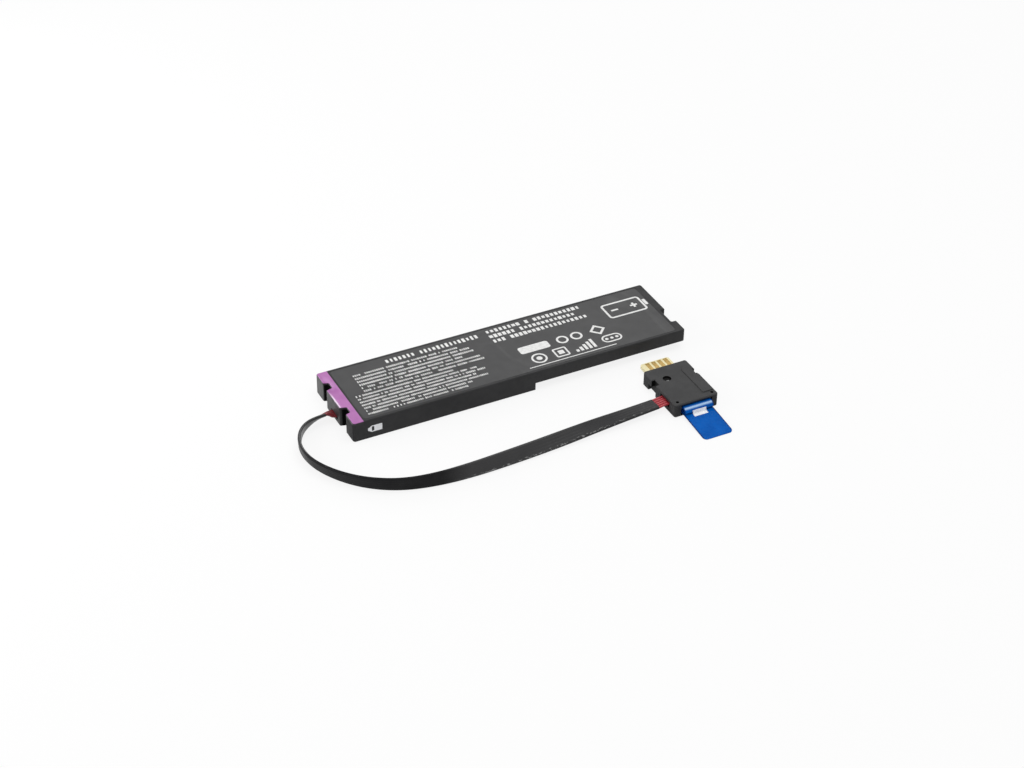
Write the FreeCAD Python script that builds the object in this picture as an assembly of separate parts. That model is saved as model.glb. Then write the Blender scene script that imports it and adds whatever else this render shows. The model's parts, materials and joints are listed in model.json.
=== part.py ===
import FreeCAD, Part
import math
import os

os.makedirs("parts", exist_ok=True)
V = FreeCAD.Vector

# A backup battery pack: a stepped flat case with three pouch cells, a flat cable of five wires
# and a card-edge plug with a pull tab. Millimetres, +Z up, the pack's middle over the origin,
# the cable end at -X and the plug in front of the pack at -Y.

# Pouch cells
cell_length = 57.0
cell_width = 35.9
cell_thickness = 3.85
cell_bevel = 0.8
seal_length = 4.5
seal_thickness = 0.3
seal_inset = 1.0
tab_width = 5.0
tab_thickness = 0.1
tab_margin = 1.45
tab_spacing = 9.0
tab_root = 1.5
tab_foot = 2.2

# Room round the cells
pad_thickness = 0.15
tape_thickness = 0.15
pad_inset = 4.0
lid_gap = 0.2
cell_side_gap = 2.0
cell_end_gap = 0.6
weld_gap = 5.5
far_tab_room = 11.5

# Control board at the cable end
board_length = 16.0
board_thickness = 0.8
board_gap = 0.6
board_rest_height = 0.5
board_rest_width = 1.6
board_rest_inset = 7.0
board_side_gap = 0.5
foot_gap = 0.7

# Parts on the board
chip_height = 1.1
chip_lift = 0.18
chip_margin = 0.8
chip_gap = 1.0
switch_length = 5.0
switch_width = 5.6
switch_count = 2
switch_lead_pitch = 1.27
gauge_length = 5.6
gauge_width = 6.4
gauge_lead_pitch = 0.8
fuse_length = 4.6
fuse_width = 3.6
fuse_cap = 0.8
resistor_length = 2.6
resistor_width = 6.4
resistor_height = 0.7
resistor_cap = 1.2
capacitor_length = 0.9
capacitor_width = 1.6
capacitor_height = 0.9
capacitor_cap = 0.35
capacitor_gap = 0.4
capacitor_count = 4
cap_proud = 0.08

# Moulded case and its lid
wall = 0.8
cover_thickness = 1.0
corner_radius = 1.2
top_bevel = 0.35
base_bevel = 0.45
rib_thickness = 1.0
rib_count = 3
rib_margin = 9.0
fit_gap = 0.15
lip_width = 0.8
lip_depth = 1.2

# Keyed ends: two slots at the cable end, one notch at the far end
lobe_proud = 0.6
slot_offset = 9.9
slot_mouth = 5.3
slot_bottom = 3.6
slot_depth = 2.4
notch_y = -7.2
notch_width = 10.1
notch_depth = 2.4
key_radius = 0.6

# Purple touch strip and top film
strip_length = 5.0
label_thickness = 0.12
label_margin = 1.6
label_corner = 1.5
label_gap = 0.1

# Flat cable
wire_count = 5
wire_diameter = 1.2
wire_gap = 0.15
wire_sides = 12
jacket_wall = 0.15
wire_row_y = -1.0
wire_window_gap = 0.35
solder_length = 4.0
wire_straight = 1.2
jacket_route = [
    (-88.5, -1.0, 3.4), (-95.2, -2.9, 3.6), (-102.0, -8.5, 3.6), (-105.8, -17.0, 3.6),
    (-106.0, -26.5, 3.6), (-103.0, -36.0, 3.6), (-96.5, -46.0, 3.6), (-88.0, -54.0, 3.6),
    (-77.0, -60.0, 3.6), (-63.5, -63.0, 3.6), (-47.5, -63.8, 3.6), (-28.0, -63.0, 3.6),
    (-6.5, -61.5, 3.6), (15.5, -59.2, 3.5), (33.5, -57.9, 3.4), (46.5, -56.9, 3.4),
]
jacket_lean = [38, 60, 83, 97, 106, 107, 104, 100, 96, 87, 72, 57, 43, 20, 4, 0]

# Plug
plug_x = 62.4
plug_back = -37.2
plug_length = 28.6
lobe_width = 3.1
plug_corner = 1.2
plug_bevel = 0.4
catch_depth = 1.6
catch_front = 11.6
catch_upper = 3.9
catch_lower = 6.4
stake_x = -4.0
stake_y = 9.2
stake_diameter = 3.0
stake_card_gap = 0.2
stake_hole = 3.9
stake_sink = 0.7
pin_hole = 1.5
pin_hole_depth = 1.6
pin_hole_side = 2.2
pin_hole_front = 2.0
rail_left = 5.0
rail_side = 0.9
rail_start = 4.9
rail_end = 25.2
rail_height = 0.4
mouth_gap = 0.7
mouth_depth = 2.2
mouth_drop = 0.9
plug_roof = 0.9
plug_floor = 1.0

# Contact card in the plug
card_margin = 1.725
card_thickness = 1.6
card_reach = 9.2
card_chamfer = 0.8
card_gap = 0.1
card_end_wall = 1.0
contact_count = 4
contact_pitch = 3.05
contact_width = 2.0
contact_length = 8.2
contact_thickness = 0.05
contact_inset = 0.5
contact_shift = 0.6

# Pull tab and its bar
film_width = 14.7
film_thickness = 0.3
film_reach = 19.6
film_corner = 2.0
loop_front = 2.2
loop_radius = 2.0
loop_turn = 68.0
loop_end = 0.7
opening_gap = 0.55
opening_depth = 4.6
bar_diameter = 2.4
bar_setback = 2.4
bar_cover = 1.1
loop_room = 1.0
loop_room_below = 0.9
loop_tape_width = 6.8
loop_tape_thickness = 0.15
loop_tape_reach = 4.6
loop_tape_foot = 1.8

# An arc of a route starts this share of the shorter run away from its point
arc_share = 0.45
# A cut runs past the face that it opens by this much
past = 1.0
# Two places nearer than this are the same place
same = 1e-5

# Heights of the pack, from the floor up
floor_top = wall
lower_cell_z = floor_top + pad_thickness
upper_cell_z = lower_cell_z + cell_thickness + tape_thickness
case_height = upper_cell_z + cell_thickness + lid_gap
pack_height = case_height + cover_thickness
step_height = upper_cell_z - pad_thickness - wall
far_cell_z = step_height + wall + pad_thickness
board_z = floor_top + board_rest_height
board_top = board_z + board_thickness
wire_z = board_top + wire_diameter / 2

# Lengths of the pack, from the cable end
side_from_end = lobe_proud
board_from_end = side_from_end + slot_depth + wall + board_gap
seal_from_end = board_from_end + board_length + weld_gap
stack_from_end = seal_from_end + seal_length
step_from_end = stack_from_end + cell_length + cell_end_gap + wall
far_cell_from_end = step_from_end + far_tab_room + seal_length
pack_length = far_cell_from_end + cell_length + cell_end_gap + wall + notch_depth
cable_end = -pack_length / 2
far_end = pack_length / 2
side_end = cable_end + side_from_end
board_left = cable_end + board_from_end
board_right = board_left + board_length
stack_left = cable_end + stack_from_end
step_x = cable_end + step_from_end
far_cell_left = cable_end + far_cell_from_end
strip_right = side_end + strip_length
half_width = cell_width / 2 + cell_side_gap + wall
inner_half = half_width - wall
board_half = inner_half - board_side_gap
tab_far = cell_width / 2 - tab_margin - tab_width / 2
tab_places = (tab_far - tab_spacing, tab_far)

# Places on the board, clear of the welded feet
lead_bend = board_right - tab_foot - foot_gap
chip_x = (board_left + lead_bend - tab_foot) / 2
fuse_y = -board_half + chip_margin + fuse_width / 2
gauge_y = fuse_y + fuse_width / 2 + chip_gap + gauge_width / 2

# Cable and plug sizes that follow
wire_pitch = wire_diameter + wire_gap
row_width = (wire_count - 1) * wire_pitch + wire_diameter
jacket_width = row_width + 2 * jacket_wall
jacket_thickness = wire_diameter + 2 * jacket_wall
opening_half = film_width / 2 + opening_gap
plug_width = 2 * (opening_half + lobe_width)
plug_split = plug_floor + loop_room_below + film_thickness + bar_diameter / 2
plug_height = plug_split + bar_diameter / 2 + film_thickness + loop_room + plug_roof
plug_left = plug_x - plug_width / 2
plug_right = plug_x + plug_width / 2
plug_front = plug_back - plug_length
plug_row_y = jacket_route[-1][1]
plug_wire_z = plug_split + wire_diameter / 2
opening_back = plug_front + opening_depth
bar_y = plug_front + bar_setback
bar_length = 2 * (opening_half + lobe_width - bar_cover)
card_width = (contact_count - 1) * contact_pitch + contact_width + 2 * card_margin
card_left = plug_x - card_width / 2
card_right = plug_x + card_width / 2
card_back = plug_back + card_reach
card_front = opening_back + card_end_wall
stake_place = (plug_x + stake_x, plug_back - stake_y)


def block(x0, x1, y0, y1, z0, z1):
    return Part.makeBox(x1 - x0, y1 - y0, z1 - z0, V(x0, y0, z0))


def prism(outline, z0, z1):
    corners = [V(x, y, z0) for x, y in outline]
    face = Part.Face(Part.makePolygon(corners + corners[:1]))
    return face.extrude(V(0, 0, z1 - z0))


def post(x, y, radius, z0, z1):
    return Part.makeCylinder(radius, z1 - z0, V(x, y, z0))


def upright_edges(shape, corners):
    found = []
    for edge in shape.Edges:
        low, high = edge.Vertexes[0].Point, edge.Vertexes[-1].Point
        upright = abs(low.x - high.x) < same and abs(low.y - high.y) < same
        if upright and any(math.hypot(low.x - x, low.y - y) < same for x, y in corners):
            found.append(edge)
    return found


def level_edges(shape, z):
    return [e for e in shape.Edges if abs(e.BoundBox.ZMin - z) < same and abs(e.BoundBox.ZMax - z) < same]


def round_corners(shape, corners, radius):
    return shape.makeFillet(radius, upright_edges(shape, corners))


def rounded_plate(x0, x1, y0, y1, z0, z1, radius):
    corners = [(x0, y0), (x1, y0), (x1, y1), (x0, y1)]
    return round_corners(prism(corners, z0, z1), corners, radius)


# A thin bent strip: its line in two axes, thickened to the left of the way it runs
def strip_outline(line, thickness):
    offset = []
    ways = []
    for (a0, b0), (a1, b1) in zip(line, line[1:]):
        run = math.hypot(a1 - a0, b1 - b0)
        ways.append((-(b1 - b0) / run, (a1 - a0) / run))
    for i, (a, b) in enumerate(line):
        before = ways[max(i - 1, 0)]
        after = ways[min(i, len(ways) - 1)]
        share = thickness / (1 + before[0] * after[0] + before[1] * after[1])
        offset.append((a + share * (before[0] + after[0]), b + share * (before[1] + after[1])))
    return line + offset[::-1]


def strip_along_x(line, thickness, y_middle, width):
    corners = [V(x, y_middle - width / 2, z) for x, z in strip_outline(line, thickness)]
    face = Part.Face(Part.makePolygon(corners + corners[:1]))
    return face.extrude(V(0, width, 0))


def strip_along_y(line, thickness, x_middle, width):
    corners = [V(x_middle - width / 2, y, z) for y, z in strip_outline(line, thickness)]
    face = Part.Face(Part.makePolygon(corners + corners[:1]))
    return face.extrude(V(width, 0, 0))


# Plan outline of the pack, with the slots and the notch, and the corners to round
def pack_outline():
    slot_x = side_end + slot_depth
    notch_x = far_end - notch_depth
    outline = [(side_end, -half_width)]
    outline += [(side_end, -slot_offset - slot_mouth / 2), (slot_x, -slot_offset - slot_bottom / 2)]
    outline += [(slot_x, -slot_offset + slot_bottom / 2), (cable_end, -slot_offset + slot_mouth / 2)]
    outline += [(cable_end, slot_offset - slot_mouth / 2), (slot_x, slot_offset - slot_bottom / 2)]
    outline += [(slot_x, slot_offset + slot_bottom / 2), (side_end, slot_offset + slot_mouth / 2)]
    outline += [(side_end, half_width), (far_end, half_width)]
    outline += [(far_end, notch_y + notch_width / 2), (notch_x, notch_y + notch_width / 2)]
    outline += [(notch_x, notch_y - notch_width / 2), (far_end, notch_y - notch_width / 2)]
    outline += [(far_end, -half_width)]
    return outline


def round_pack(shape):
    outline = pack_outline()
    outer = [p for p in outline if abs(abs(p[1]) - half_width) < same]
    keys = [p for p in outline if p not in outer]
    return round_corners(round_corners(shape, outer, corner_radius), keys, key_radius)


def wire_places():
    return [(i - (wire_count - 1) / 2) * wire_pitch for i in range(wire_count)]


def lower_case():
    body = prism(pack_outline(), 0, case_height)
    body = body.cut(block(step_x, far_end + past, -half_width - past, half_width + past, -past, step_height))
    top = [f for f in body.Faces if abs(f.CenterOfMass.z - case_height) < same]
    tray = round_pack(body.makeThickness(top, -wall, same, False, False, 0, 2))
    tray = tray.makeChamfer(base_bevel, outer_level_edges(tray, 0))
    for y in (board_rest_inset - board_half, board_half - board_rest_inset):
        low, high = y - board_rest_width / 2, y + board_rest_width / 2
        tray = tray.fuse(block(board_left, board_right, low, high, floor_top, board_z))
    for first, base in ((stack_left, floor_top), (far_cell_left, step_height + wall)):
        for x in rib_places(first):
            for rib in side_ribs(x, base):
                tray = tray.fuse(rib)
    return tray.removeSplitter().cut(wire_window())


def outer_level_edges(shape, z):
    outer = []
    for edge in level_edges(shape, z):
        middle = edge.valueAt((edge.FirstParameter + edge.LastParameter) / 2)
        if middle.x < step_x - same:
            outer.append(edge)
    return outer


def rib_places(first):
    pitch = (cell_length - 2 * rib_margin) / (rib_count - 1)
    return [first + rib_margin + i * pitch for i in range(rib_count)]


def side_ribs(x, base):
    top = case_height - lip_depth - fit_gap
    inner = cell_width / 2 + fit_gap
    x0, x1 = x - rib_thickness / 2, x + rib_thickness / 2
    return [block(x0, x1, inner, inner_half, base, top), block(x0, x1, -inner_half, -inner, base, top)]


# Low window in the middle lobe that the row of wires leaves through
def wire_window():
    half = row_width / 2 + wire_window_gap
    rise = wire_diameter / 2 + wire_window_gap
    x0, x1 = cable_end - past, side_end + slot_depth + wall
    window = block(x0, x1, wire_row_y - half, wire_row_y + half, wire_z - rise, wire_z + rise)
    along = [e for e in window.Edges if e.BoundBox.XLength > wall]
    return window.makeFillet(wire_diameter / 2, along)


def lid_plate():
    plate = round_pack(prism(pack_outline(), case_height, pack_height))
    return plate.makeChamfer(top_bevel, level_edges(plate, pack_height))


def strip_space():
    side = half_width + past
    return block(cable_end - past, strip_right, -side, side, case_height, pack_height + past)


def label_plate(gap):
    x0, x1 = strip_right + label_margin / 2 - gap, far_end - notch_depth - label_margin + gap
    half = half_width - label_margin + gap
    base = pack_height - label_thickness
    return rounded_plate(x0, x1, -half, half, base, pack_height, label_corner + gap)


def top_cover():
    cover = lid_plate().cut(strip_space()).cut(label_plate(label_gap))
    outer = inner_half - fit_gap
    for y0, y1 in ((outer - lip_width, outer), (-outer, -outer + lip_width)):
        lip = block(strip_right, far_cell_left + cell_length, y0, y1, case_height - lip_depth, case_height)
        cover = cover.fuse(lip)
    return cover.removeSplitter()


def end_strip():
    return lid_plate().common(strip_space())


def pouch(body_left, z):
    body = block(body_left, body_left + cell_length, -cell_width / 2, cell_width / 2, z, z + cell_thickness)
    body = body.makeChamfer(cell_bevel, body.Edges)
    middle = z + cell_thickness / 2
    half = cell_width / 2 - seal_inset
    low, high = middle - seal_thickness / 2, middle + seal_thickness / 2
    return body.fuse(block(body_left - seal_length, body_left + seal_inset, -half, half, low, high))


# A cell with two tabs on one side of its middle, each a strip that follows the same line
def cell_with_tabs(body_left, z, side, line):
    cell = pouch(body_left, z)
    for place in tab_places:
        cell = cell.fuse(strip_along_x(line, tab_thickness, side * place, tab_width))
    return cell.removeSplitter()


def lower_cell():
    middle = lower_cell_z + cell_thickness / 2 - tab_thickness / 2
    seal_end = stack_left - seal_length
    line = [(board_right - tab_foot, board_top), (board_right, board_top)]
    line += [(seal_end - tab_root, middle), (seal_end + tab_root, middle)]
    return cell_with_tabs(stack_left, lower_cell_z, 1, line)


def upper_cell():
    middle = upper_cell_z + cell_thickness / 2 - tab_thickness / 2
    seal_end = stack_left - seal_length
    bend = board_right - foot_gap
    line = [(bend - tab_foot, board_top), (bend, board_top), (bend, middle), (seal_end + tab_root, middle)]
    return cell_with_tabs(stack_left, upper_cell_z, -1, line)


def far_cell():
    middle = far_cell_z + cell_thickness / 2 - tab_thickness / 2
    seal_end = far_cell_left - seal_length
    line = [(seal_end - weld_gap, middle), (seal_end + tab_root, middle)]
    return cell_with_tabs(far_cell_left, far_cell_z, 1, line)


# Strips from the far cell's tabs, over the stacked cells and down to the board
def far_leads():
    over = upper_cell_z + cell_thickness
    tab_top = far_cell_z + cell_thickness / 2 + tab_thickness / 2
    ramp = stack_left + cell_length + cell_end_gap
    tab_end = far_cell_left - seal_length - weld_gap
    line = [(lead_bend - tab_foot, board_top), (lead_bend, board_top), (lead_bend, over), (ramp, over)]
    line += [(tab_end, tab_top), (tab_end + tab_root + tab_foot, tab_top)]
    leads = [strip_along_x(line, tab_thickness, place, tab_width) for place in tab_places]
    return Part.makeCompound(leads)


def cell_pad(body_left, z, thickness):
    half = cell_width / 2 - pad_inset
    return block(body_left + pad_inset, body_left + cell_length - pad_inset, -half, half, z, z + thickness)


def control_board():
    corner = board_thickness
    return rounded_plate(board_left, board_right, -board_half, board_half, board_z, board_top, corner)


# A chip: a body with bevelled top edges, standing on a row of leads along two sides
def chip(x, y, length, width, lead_pitch):
    lead = lead_pitch / 2
    top = board_top + chip_height
    body = block(x - length / 2, x + length / 2, y - width / 2, y + width / 2, board_top + chip_lift, top)
    body = body.makeChamfer(chip_lift, level_edges(body, top))
    count = int(width / lead_pitch)
    x0, x1 = x - length / 2 - lead, x + length / 2 + lead
    for i in range(count):
        middle = y + (i - (count - 1) / 2) * lead_pitch
        y0, y1 = middle - lead / 2, middle + lead / 2
        body = body.fuse(block(x0, x1, y0, y1, board_top, board_top + 2 * chip_lift))
    return body.removeSplitter()


def power_switches():
    first = board_half - chip_margin - switch_width / 2
    places = [first - i * (switch_width + chip_gap) for i in range(switch_count)]
    chips = [chip(chip_x, y, switch_length, switch_width, switch_lead_pitch) for y in places]
    return Part.makeCompound(chips)


def gauge_chip():
    return chip(chip_x, gauge_y, gauge_length, gauge_width, gauge_lead_pitch)


# A part with plain end caps, each a little proud of the body between them
def capped_part(x, y, length, width, height, cap):
    half = length / 2
    y0, y1 = y - width / 2, y + width / 2
    inner = half - cap_proud
    body = block(x - inner, x + inner, y0, y1, board_top, board_top + height - cap_proud)
    for end in (y0, y1 - cap):
        body = body.fuse(block(x - half, x + half, end, end + cap, board_top, board_top + height))
    return body.removeSplitter()


def cell_fuse():
    return capped_part(chip_x, fuse_y, fuse_length, fuse_width, chip_height, fuse_cap)


def sense_resistor():
    x = board_left + solder_length + chip_margin + resistor_length / 2
    return capped_part(x, wire_row_y, resistor_length, resistor_width, resistor_height, resistor_cap)


def filter_capacitors():
    x = chip_x + gauge_length / 2 + gauge_lead_pitch + capacitor_length
    pitch = capacitor_width + capacitor_gap
    parts = []
    for i in range(capacitor_count):
        y = gauge_y + (i - (capacitor_count - 1) / 2) * pitch
        parts.append(capped_part(x, y, capacitor_length, capacitor_width, capacitor_height, capacitor_cap))
    return Part.makeCompound(parts)


# A path of straight runs with a tangent arc at each point between them
def rounded_route(points):
    edges = []
    radii = []
    last = points[0]
    for a, b, c in zip(points, points[1:], points[2:]):
        way_in = (b - a).normalize()
        way_out = (c - b).normalize()
        half_turn = way_in.getAngle(way_out) / 2
        setback = arc_share * min((b - a).Length, (c - b).Length)
        radius = setback / math.tan(half_turn)
        start, end = b - way_in * setback, b + way_out * setback
        centre = b + (way_out - way_in).normalize() * (radius / math.cos(half_turn))
        middle = centre + (b - centre).normalize() * radius
        edges.append(Part.LineSegment(last, start).toShape())
        edges.append(Part.Arc(start, middle, end).toShape())
        radii.append(radius)
        last = end
    edges.append(Part.LineSegment(last, points[-1]).toShape())
    return edges, radii


# The way along the cable, across its flat side and out of its face, leaning over by an angle
def ribbon_frame(tangent, lean):
    along = V(tangent).normalize()
    left = V(0, 0, 1).cross(along).normalize()
    up = along.cross(left)
    turn = math.radians(lean)
    across = left * math.cos(turn) + up * math.sin(turn)
    return along, across, along.cross(across)


def jacket_section(centre, tangent, lean):
    across, face = ribbon_frame(tangent, lean)[1:]
    half, rise = jacket_width / 2, jacket_thickness / 2
    bevel = jacket_thickness / 4
    corners = []
    for side, front in ((1, 1), (-1, 1), (-1, -1), (1, -1)):
        near = centre + across * (side * half) + face * (front * (rise - bevel))
        over = centre + across * (side * (half - bevel)) + face * (front * rise)
        corners += [near, over] if side == front else [over, near]
    return Part.makePolygon(corners + corners[:1])


# Stations along the route, with the lean at each taken from the points beside it
def jacket_stations():
    edges, radii = rounded_route([V(*p) for p in jacket_route])
    marks = [0.0]
    travelled = 0.0
    for i, edge in enumerate(edges):
        if i % 2:
            marks.append(travelled + edge.Length / 2)
        travelled += edge.Length
    marks.append(travelled)
    stations = []
    travelled = 0.0
    for i, edge in enumerate(edges):
        shares = (0.0, 0.5) if i % 2 else (0.0,)
        for share in shares:
            stations.append(station(edge, share, travelled, marks))
        travelled += edge.Length
    stations.append(station(edges[-1], 1.0, travelled - edges[-1].Length, marks))
    return stations, radii, travelled


def station(edge, share, travelled, marks):
    parameter = edge.FirstParameter + share * (edge.LastParameter - edge.FirstParameter)
    place = travelled + share * edge.Length
    i = max(k for k in range(len(marks) - 1) if marks[k] <= place + same)
    part = (place - marks[i]) / (marks[i + 1] - marks[i])
    lean = jacket_lean[i] + part * (jacket_lean[i + 1] - jacket_lean[i])
    return edge.valueAt(parameter), edge.tangentAt(parameter), lean


def cable_jacket():
    stations, radii, length = jacket_stations()
    jacket = Part.makeLoft([jacket_section(*s) for s in stations], True, True)
    section = Part.Face(jacket_section(*stations[0])).Area
    print("jacket length %.1f, radii %s" % (length, " ".join("%.0f" % r for r in radii)))
    print("jacket volume %.1f, section times length %.1f" % (jacket.Volume, section * length))
    return jacket


# One wire through its points: a ring with flats up, down and to both sides, carried along the path
def wire_ring(centre, tangent):
    across, face = ribbon_frame(tangent, 0)[1:]
    radius = wire_diameter / 2 / math.cos(math.pi / wire_sides)
    corners = []
    for i in range(wire_sides):
        turn = 2 * math.pi * (i + 0.5) / wire_sides
        corners.append(centre + across * (radius * math.cos(turn)) + face * (radius * math.sin(turn)))
    return Part.makePolygon(corners + corners[:1])


def wire_along(points):
    edges, radii = rounded_route(points)
    rings = []
    for i, edge in enumerate(edges):
        middle = (edge.FirstParameter + edge.LastParameter) / 2
        for place in (edge.FirstParameter, middle) if i % 2 else (edge.FirstParameter,):
            rings.append(wire_ring(edge.valueAt(place), edge.tangentAt(place)))
    last = edges[-1].LastParameter
    rings.append(wire_ring(edges[-1].valueAt(last), edges[-1].tangentAt(last)))
    wire = Part.makeLoft(rings, True, True)
    length = sum(edge.Length for edge in edges)
    print("wire volume %.2f, section times length %.2f, least radius %.1f" % (
        wire.Volume, Part.Face(rings[0]).Area * length, min(radii)))
    return wire


def pack_wires():
    centre, tangent, lean = jacket_stations()[0][0]
    along, across = ribbon_frame(tangent, lean)[:2]
    wires = []
    for place in wire_places():
        y = wire_row_y - place
        meet = centre + across * place
        inner = V(board_left + solder_length, y, wire_z)
        outside = V(cable_end - wire_straight, y, wire_z)
        wires.append(wire_along([inner, outside, meet - along * wire_straight, meet]))
    return Part.makeCompound(wires)


def plug_wires():
    centre, tangent, lean = jacket_stations()[0][-1]
    along, across = ribbon_frame(tangent, lean)[:2]
    wires = []
    for place in wire_places():
        meet = centre + across * place
        outside = V(plug_left - wire_straight, plug_row_y + place, plug_wire_z)
        inner = V(card_left + solder_length, plug_row_y + place, plug_wire_z)
        wires.append(wire_along([meet, meet + along * wire_straight, outside, inner]))
    return Part.makeCompound(wires)


# Plan outline of one half of the plug: catch notches on both sides
def plug_outline(catch_length):
    front, back = plug_back - catch_front, plug_back - catch_front + catch_length
    inner = plug_width / 2 - catch_depth
    outline = []
    for side in (1, -1):
        edge = plug_x + side * plug_width / 2
        deep = plug_x + side * inner
        half = [(edge, plug_front), (edge, front), (deep, front)]
        half += [(deep, back), (edge, back), (edge, plug_back)]
        outline += half if side == 1 else half[::-1]
    return outline


def plug_half(catch_length, z0, z1, outer_z):
    shape = prism(plug_outline(catch_length), z0, z1)
    corners = [(x, y) for x in (plug_left, plug_right) for y in (plug_front, plug_back)]
    shape = round_corners(shape, corners, plug_corner)
    return shape.makeChamfer(plug_bevel, level_edges(shape, outer_z))


# Front opening between the lobes, where the tab loops round its bar
def tab_opening():
    x0, x1 = plug_x - opening_half, plug_x + opening_half
    return block(x0, x1, plug_front - past, opening_back, plug_floor, plug_height - plug_roof)


# Mouth in the left side for the row of wires, with a wider flare outside
def wire_mouth():
    half = row_width / 2 + mouth_gap
    top = plug_wire_z + wire_diameter / 2 + mouth_gap
    y0, y1 = plug_row_y - half, plug_row_y + half
    tunnel = block(plug_left - past, card_left + solder_length + mouth_gap, y0, y1, plug_split, top)
    flare = block(plug_left - past, plug_left + mouth_depth, y0, y1, plug_split - mouth_drop, top)
    return tunnel.fuse(flare)


def bar_rod():
    start = V(plug_x - bar_length / 2, bar_y, plug_split)
    return Part.makeCylinder(bar_diameter / 2, bar_length, start, V(1, 0, 0))


def plug_upper_shell():
    shell = plug_half(catch_upper, plug_split, plug_height, plug_height)
    x0, x1 = plug_x + rail_left, plug_right - rail_side
    back, front = plug_back - rail_start, plug_back - rail_end
    rail = block(x0, x1, front, back, plug_split + rail_height, plug_height + rail_height)
    rail = round_corners(rail, [(x0, back), (x1, back)], (x1 - x0) / 2 - rail_height)
    rail = rail.cut(catch_space(catch_upper))
    shell = shell.fuse(rail)
    shell = shell.cut(tab_opening()).cut(wire_mouth()).cut(bar_rod())
    shell = shell.cut(post(*stake_place, stake_hole / 2, plug_split, plug_height + past))
    y, low = plug_front + pin_hole_front, plug_height - pin_hole_depth
    for x in (plug_left + pin_hole_side, plug_right - pin_hole_side):
        shell = shell.cut(post(x, y, pin_hole / 2, low, plug_height + past))
    return shell.removeSplitter()


def catch_space(catch_length):
    front = plug_back - catch_front
    inner = plug_x + plug_width / 2 - catch_depth
    return block(inner, plug_right + past, front, front + catch_length, 0, plug_height + past)


def plug_lower_shell():
    shell = plug_half(catch_lower, 0, plug_split, 0)
    low = plug_split - card_thickness
    x0, x1 = card_left - card_gap, card_right + card_gap
    shell = shell.cut(block(x0, x1, card_front - card_gap, plug_back + past, low, plug_split))
    shell = shell.cut(tab_opening()).cut(wire_mouth()).cut(bar_rod())
    stake = post(*stake_place, stake_diameter / 2, low, plug_height - stake_sink)
    return shell.fuse(stake).removeSplitter()


def plug_card():
    low = plug_split - card_thickness
    tip = card_back - card_chamfer
    outline = [(card_left, card_front), (card_right, card_front), (card_right, tip)]
    outline += [(card_right - card_chamfer, card_back), (card_left + card_chamfer, card_back)]
    outline += [(card_left, tip)]
    hole = stake_diameter / 2 + stake_card_gap
    return prism(outline, low, plug_split).cut(post(*stake_place, hole, low, plug_split))


def edge_contacts():
    pads = []
    y1 = card_back - contact_inset
    y0 = y1 - contact_length
    low = plug_split - card_thickness
    for z in (plug_split, low - contact_thickness):
        for i in range(contact_count):
            x = plug_x + contact_shift + (i - (contact_count - 1) / 2) * contact_pitch
            x0, x1 = x - contact_width / 2, x + contact_width / 2
            pads.append(block(x0, x1, y0, y1, z, z + contact_thickness))
    return Part.makeCompound(pads)


def tab_bar():
    return bar_rod()


# Side line of the tab's film: its upper and inner face, from the free end, under the bar,
# round its back, forward over it and down again
def film_line():
    radius = bar_diameter / 2
    free = V(0, plug_front - film_reach, film_thickness)
    bar = V(0, bar_y, plug_split)
    reach = bar - free
    rise = math.atan2(reach.z, reach.y) - math.asin(radius / reach.Length)
    under = bar + V(0, math.sin(rise), -math.cos(rise)) * radius
    behind = bar + V(0, radius, 0)
    over = bar + V(0, 0, radius)
    fold = V(0, plug_front - loop_front + loop_radius, over.z)
    turn = math.radians(loop_turn)
    centre = fold - V(0, 0, loop_radius)
    mid_way = V(0, -math.sin(turn / 2), math.cos(turn / 2)) * loop_radius
    down = centre + V(0, -math.sin(turn), math.cos(turn)) * loop_radius
    tip = down + V(0, -math.cos(turn), -math.sin(turn)) * loop_end
    edges = [Part.LineSegment(free, under).toShape(), Part.Arc(under, behind, over).toShape()]
    edges += [Part.LineSegment(over, fold).toShape(), Part.Arc(fold, centre + mid_way, down).toShape()]
    edges += [Part.LineSegment(down, tip).toShape()]
    return edges, {"free": free, "under": under, "down": down, "tip": tip}


def pull_tab():
    edges, at = film_line()
    face = Part.Wire(edges).makeOffset2D(film_thickness, 0, True, True, False)
    x0, x1 = plug_x - film_width / 2, plug_x + film_width / 2
    face.translate(V(x0, 0, 0))
    film = face.extrude(V(film_width, 0, 0))
    free_y = at["free"].y
    reach = block(x0, x1, free_y, plug_back, -past, plug_height)
    return film.common(round_corners(reach, [(x0, free_y), (x1, free_y)], film_corner))


# Patch that closes the loop: on the film's turned-down end, then on the tab below it
def loop_tape():
    at = film_line()[1]
    free = at["free"]
    way = (at["tip"] - at["down"]).normalize()
    out = V(0, way.z, -way.y)
    upper = at["down"] + out * film_thickness
    lower = at["tip"] + out * film_thickness
    slope = (at["under"].z - free.z) / (at["under"].y - free.y)
    meet_y = plug_front - loop_tape_reach + loop_tape_foot
    end_y = plug_front - loop_tape_reach
    line = [(upper.y, upper.z), (lower.y, lower.z)]
    line += [(y, free.z + slope * (y - free.y)) for y in (meet_y, end_y)]
    return strip_along_y(line[::-1], loop_tape_thickness, plug_x, loop_tape_width)


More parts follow.
